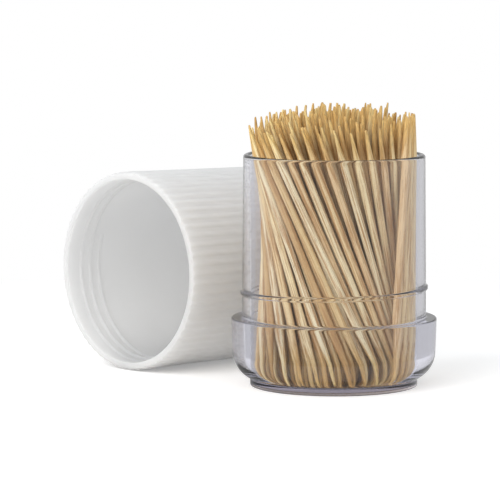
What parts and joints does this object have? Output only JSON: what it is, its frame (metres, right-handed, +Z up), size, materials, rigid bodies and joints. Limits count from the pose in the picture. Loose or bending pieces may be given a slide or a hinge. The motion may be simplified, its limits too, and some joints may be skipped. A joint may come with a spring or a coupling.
{
  "type": "toothpick dispenser",
  "caption": "Clear screw-top cup full of double-pointed wooden picks, with its tall white ribbed screw lid lying on its side behind it.",
  "frame": {"origin": "middle of the cup's foot, on the table", "axes": "+Z up along the cup's axis; +X along the lid from its mouth to its closed end; +Y from the cup towards the lid behind it"},
  "size_m": [0.0589, 0.106, 0.0698],
  "materials": {
    "cup": "clear polished",
    "lid": "satin white",
    "picks": "plain, unvarnished"
  },
  "bodies": {
    "cup": {"cup": "cup", "picks_ring1_1": "picks", "picks_ring1_2": "picks", "picks_ring1_3": "picks", "picks_ring1_4": "picks", "picks_ring1_5": "picks", "picks_ring2_1": "picks", "picks_ring2_2": "picks", "picks_ring2_3": "picks", "picks_ring2_4": "picks", "picks_ring2_5": "picks", "picks_ring2_6": "picks", "picks_ring2_7": "picks", "picks_ring2_8": "picks", "picks_ring3_1": "picks", "picks_ring3_2": "picks", "picks_ring3_3": "picks", "picks_ring3_4": "picks", "picks_ring3_5": "picks", "picks_ring3_6": "picks", "picks_ring4_1": "picks", "picks_ring4_2": "picks", "picks_ring4_3": "picks", "picks_ring4_4": "picks", "picks_ring4_5": "picks", "picks_ring4_6": "picks", "picks_ring5_1": "picks", "picks_ring5_2": "picks", "picks_ring5_3": "picks", "picks_ring5_4": "picks", "picks_ring6_1": "picks", "picks_ring6_2": "picks", "picks_ring6_3": "picks", "picks_ring6_4": "picks", "picks_ring7_1": "picks", "picks_ring7_2": "picks", "picks_ring8_1": "picks", "picks_ring8_2": "picks", "picks_ring9_1": "picks"},
    "lid": {"lid": "lid"},
    "middle_pick": {"middle_pick": "picks"},
    "loose_pick_1": {"loose_pick_1": "picks"},
    "loose_pick_2": {"loose_pick_2": "picks"},
    "loose_pick_3": {"loose_pick_3": "picks"},
    "loose_pick_4": {"loose_pick_4": "picks"},
    "loose_pick_5": {"loose_pick_5": "picks"},
    "loose_pick_6": {"loose_pick_6": "picks"},
    "loose_pick_7": {"loose_pick_7": "picks"},
    "loose_pick_8": {"loose_pick_8": "picks"}
  },
  "joints": [
    {"name": "lid_lift", "type": "slide", "parent": "cup", "child": "lid", "axis": [0, 0, 1], "range_m": [0, 0.08]},
    {"name": "middle_pick_pull", "type": "slide", "parent": "cup", "child": "middle_pick", "axis": [0, 0, 1], "range_m": [0, 0.07]},
    {"name": "loose_pick_1_pull", "type": "slide", "parent": "cup", "child": "loose_pick_1", "axis": [0.0977, 0.0137, 0.9951], "range_m": [0, 0.07]},
    {"name": "loose_pick_2_pull", "type": "slide", "parent": "cup", "child": "loose_pick_2", "axis": [0.0955, 0.0246, 0.9951], "range_m": [0, 0.07]},
    {"name": "loose_pick_3_pull", "type": "slide", "parent": "cup", "child": "loose_pick_3", "axis": [0.0922, 0.0352, 0.9951], "range_m": [0, 0.07]},
    {"name": "loose_pick_4_pull", "type": "slide", "parent": "cup", "child": "loose_pick_4", "axis": [0.0876, 0.0454, 0.9951], "range_m": [0, 0.07]},
    {"name": "loose_pick_5_pull", "type": "slide", "parent": "cup", "child": "loose_pick_5", "axis": [0.082, 0.055, 0.9951], "range_m": [0, 0.07]},
    {"name": "loose_pick_6_pull", "type": "slide", "parent": "cup", "child": "loose_pick_6", "axis": [0.0752, 0.0638, 0.9951], "range_m": [0, 0.07]},
    {"name": "loose_pick_7_pull", "type": "slide", "parent": "cup", "child": "loose_pick_7", "axis": [0.0676, 0.0719, 0.9951], "range_m": [0, 0.07]},
    {"name": "loose_pick_8_pull", "type": "slide", "parent": "cup", "child": "loose_pick_8", "axis": [0.0591, 0.079, 0.9951], "range_m": [0, 0.07]}
  ]
}
